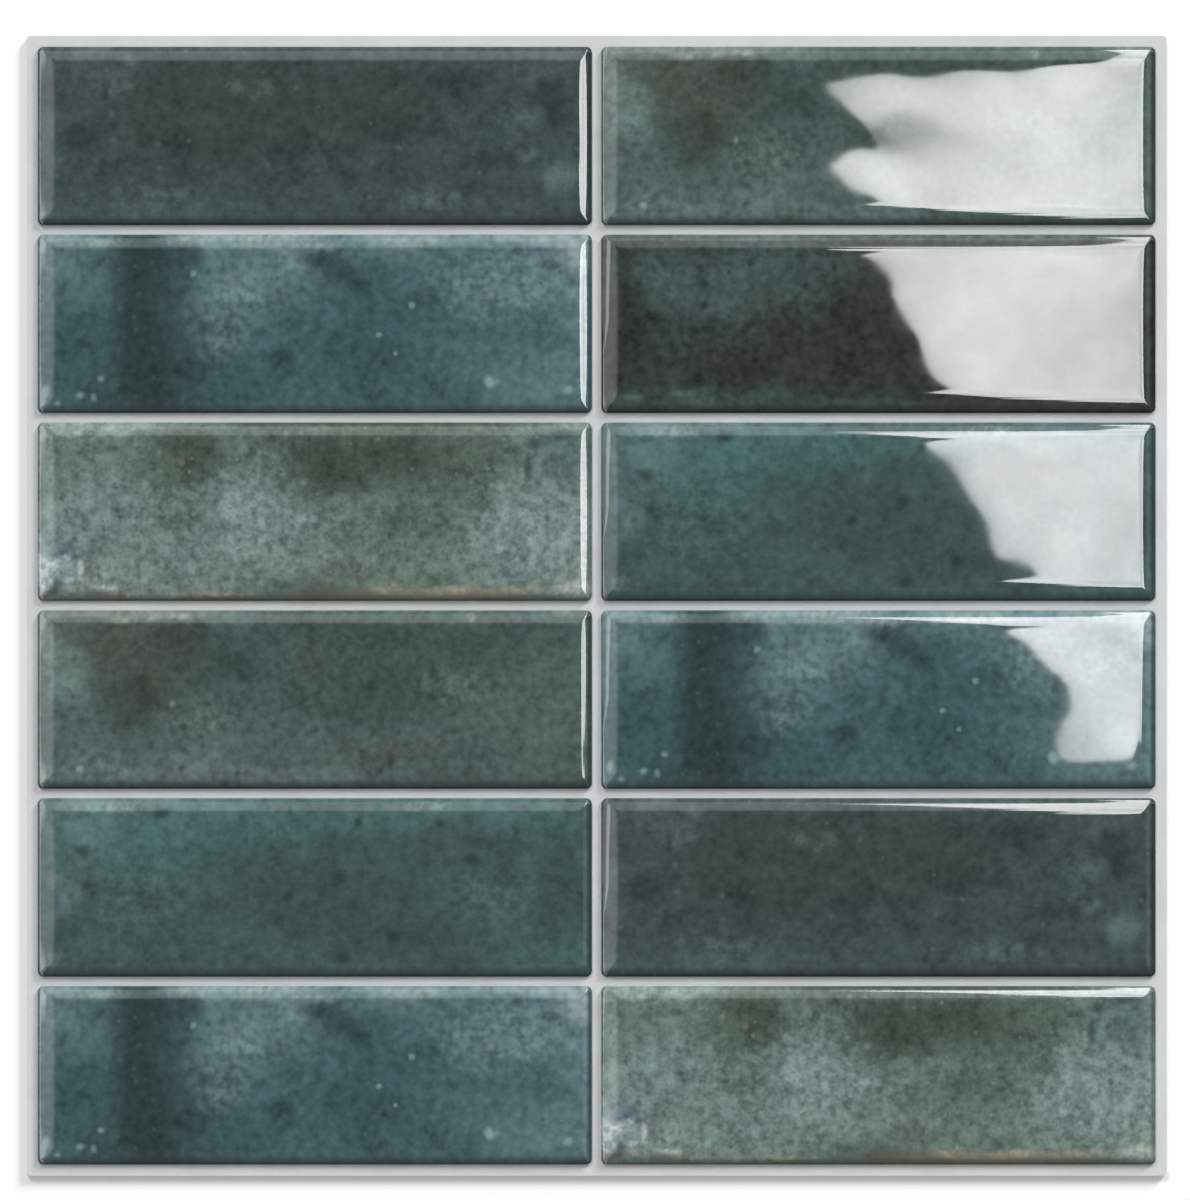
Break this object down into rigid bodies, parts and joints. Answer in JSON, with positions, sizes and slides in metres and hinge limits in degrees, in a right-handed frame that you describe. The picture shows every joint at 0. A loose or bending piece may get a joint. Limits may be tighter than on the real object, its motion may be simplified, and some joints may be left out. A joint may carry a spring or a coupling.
{
  "type": "peel and stick backsplash tile",
  "caption": "Square self-adhesive backsplash sheet: glossy bevelled oblong tiles in a straight stack on grey vinyl that shows as grout lines, with a peel-off liner behind.",
  "frame": {"origin": "middle of the release liner's outer face, which lies on the floor or faces the wall", "axes": "+Z out of the glossy face, +X along the tiles' length to the right, +Y up the wall"},
  "size_m": [0.3048, 0.3048, 0.0026],
  "materials": {
    "glaze_slate": "gloss",
    "glaze_moss": "gloss",
    "glaze_blue": "gloss",
    "glaze_umber": "gloss",
    "glaze_sage": "gloss",
    "glaze_teal": "gloss",
    "grout_vinyl": "matte",
    "adhesive": "satin",
    "liner_paper": "satin"
  },
  "bodies": {
    "root": {"release_liner": "liner_paper", "adhesive_film": "adhesive", "vinyl_sheet": "grout_vinyl", "tile_row1_left": "glaze_slate", "tile_row1_right": "glaze_moss", "tile_row2_left": "glaze_blue", "tile_row2_right": "glaze_umber", "tile_row3_left": "glaze_sage", "tile_row3_right": "glaze_teal", "tile_row4_left": "glaze_moss", "tile_row4_right": "glaze_blue", "tile_row5_left": "glaze_teal", "tile_row5_right": "glaze_slate", "tile_row6_left": "glaze_blue", "tile_row6_right": "glaze_sage"}
  },
  "joints": []
}
